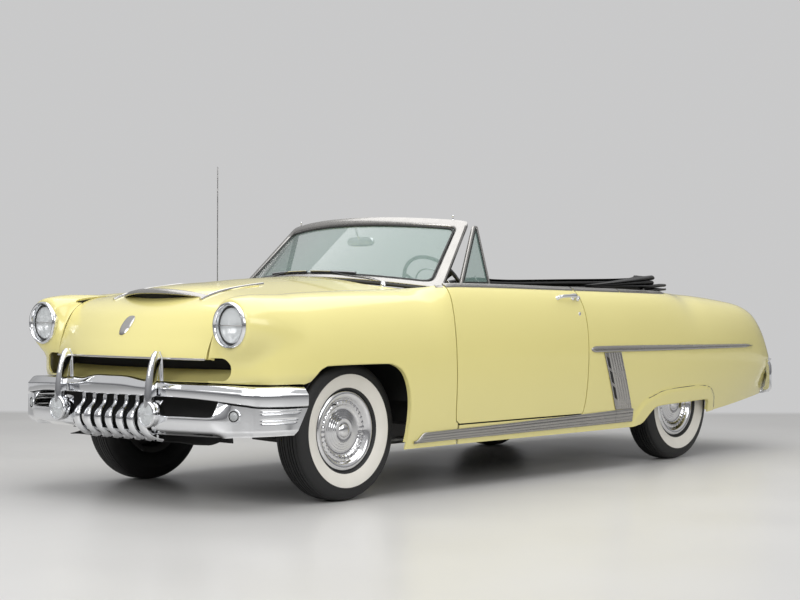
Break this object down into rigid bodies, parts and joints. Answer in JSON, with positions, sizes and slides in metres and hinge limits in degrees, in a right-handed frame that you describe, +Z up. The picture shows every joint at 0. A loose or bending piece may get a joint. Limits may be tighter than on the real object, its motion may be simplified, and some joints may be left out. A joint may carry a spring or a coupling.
{
  "type": "two-door convertible car",
  "caption": "Early 1950s two-door convertible car with its top folded, opening doors, hood and trunk lid, tilting seat backs, and steering that turns the front wheels.",
  "frame": {"origin": "on the floor under the middle of the car's box", "axes": "+Y towards the rear of the car, +X towards the car's left side, +Z up"},
  "size_m": [1.872, 5.1438, 1.754],
  "materials": {
    "paint": "gloss",
    "chrome": "polished",
    "stainless": "satin",
    "chassis_black": "satin",
    "cast_steel": "matt",
    "glass": "clear",
    "lamp_glass": "fluted",
    "tail_lens": "gloss",
    "tyre": "matt",
    "wheel_cover": "polished",
    "hide": "satin",
    "top_cloth": "matt",
    "dash_paint": "gloss",
    "bakelite": "gloss",
    "carpet": "matt",
    "mirror_chrome": "polished"
  },
  "bodies": {
    "car": {"frame": "chassis_black", "floor": "carpet", "rockers": "paint", "cowl": "paint", "front_fender_left": "paint", "front_fender_right": "paint", "radiator": "chassis_black", "front_bumper": "chrome", "bumper_guards": "chrome", "lower_grille": "chrome", "headlamps": "lamp_glass", "windshield_frame": "stainless", "windshield_glass": "glass", "rear_quarter_left": "paint", "rear_quarter_right": "paint", "rear_deck": "paint", "rear_bumper": "chrome", "plate_bracket": "cast_steel", "tail_lamps": "tail_lens", "dashboard": "dash_paint", "steering_column": "bakelite", "front_seat": "hide", "rear_seat": "hide", "folded_top": "top_cloth", "engine": "cast_steel", "rear_axle": "cast_steel", "front_suspension": "cast_steel", "exhaust": "cast_steel", "fuel_tank": "chassis_black", "aerial": "chrome", "rear_view_mirror": "mirror_chrome"},
    "door_left": {"door_left": "paint", "vent_window_left": "stainless"},
    "door_right": {"door_right": "paint", "vent_window_right": "stainless"},
    "hood": {"hood": "paint", "hood_scoop": "paint"},
    "trunk_lid": {"trunk_lid": "paint"},
    "seat_back_left": {"seat_back_left": "hide"},
    "seat_back_right": {"seat_back_right": "hide"},
    "steering_wheel": {"steering_wheel": "bakelite"},
    "knuckle_left": {"knuckle_left": "cast_steel"},
    "knuckle_right": {"knuckle_right": "cast_steel"},
    "wheel_front_left": {"tyre_front_left": "tyre", "wheel_front_left": "wheel_cover"},
    "wheel_front_right": {"tyre_front_right": "tyre", "wheel_front_right": "wheel_cover"},
    "wheel_rear_left": {"tyre_rear_left": "tyre", "wheel_rear_left": "wheel_cover"},
    "wheel_rear_right": {"tyre_rear_right": "tyre", "wheel_rear_right": "wheel_cover"}
  },
  "joints": [
    {"name": "door_left_swing", "type": "hinge", "parent": "car", "child": "door_left", "pos_m": [0.912, -0.887, 0.7], "axis": [0, 0, -1], "range_deg": [0, 65]},
    {"name": "door_right_swing", "type": "hinge", "parent": "car", "child": "door_right", "pos_m": [-0.912, -0.887, 0.7], "axis": [0, 0, 1], "range_deg": [0, 65]},
    {"name": "hood_lift", "type": "hinge", "parent": "car", "child": "hood", "pos_m": [0, -1.235, 1.105], "axis": [-1, 0, 0], "range_deg": [0, 45]},
    {"name": "trunk_lift", "type": "hinge", "parent": "car", "child": "trunk_lid", "pos_m": [0, 1.54, 1.052], "axis": [1, 0, 0], "range_deg": [0, 55]},
    {"name": "seat_back_left_tilt", "type": "hinge", "parent": "car", "child": "seat_back_left", "pos_m": [0.33, 0.14, 0.62], "axis": [1, 0, 0], "range_deg": [0, 50]},
    {"name": "seat_back_right_tilt", "type": "hinge", "parent": "car", "child": "seat_back_right", "pos_m": [-0.33, 0.14, 0.62], "axis": [1, 0, 0], "range_deg": [0, 50]},
    {"name": "steering_turn", "type": "hinge", "parent": "car", "child": "steering_wheel", "pos_m": [0.38, -0.504, 1.05], "axis": [0, 0.866, 0.5], "range_deg": [-768, 768]},
    {"name": "steer_left", "type": "hinge", "parent": "car", "child": "knuckle_left", "pos_m": [0.622, -1.6485, 0.345], "axis": [0, 0, 1], "range_deg": [-32, 32]},
    {"name": "steer_right", "type": "hinge", "parent": "car", "child": "knuckle_right", "pos_m": [-0.622, -1.6485, 0.345], "axis": [0, 0, 1], "range_deg": [-32, 32]},
    {"name": "spin_front_left", "type": "hinge", "parent": "knuckle_left", "child": "wheel_front_left", "pos_m": [0.7365, -1.6485, 0.345], "axis": [1, 0, 0], "continuous": true},
    {"name": "spin_front_right", "type": "hinge", "parent": "knuckle_right", "child": "wheel_front_right", "pos_m": [-0.7365, -1.6485, 0.345], "axis": [1, 0, 0], "continuous": true},
    {"name": "spin_rear_left", "type": "hinge", "parent": "car", "child": "wheel_rear_left", "pos_m": [0.711, 1.3485, 0.345], "axis": [1, 0, 0], "continuous": true},
    {"name": "spin_rear_right", "type": "hinge", "parent": "car", "child": "wheel_rear_right", "pos_m": [-0.711, 1.3485, 0.345], "axis": [1, 0, 0], "continuous": true}
  ],
  "couplings": [
    {"joint": "steer_left", "follows": "steering_turn", "ratio": 0.041666},
    {"joint": "steer_right", "follows": "steering_turn", "ratio": 0.041666}
  ]
}
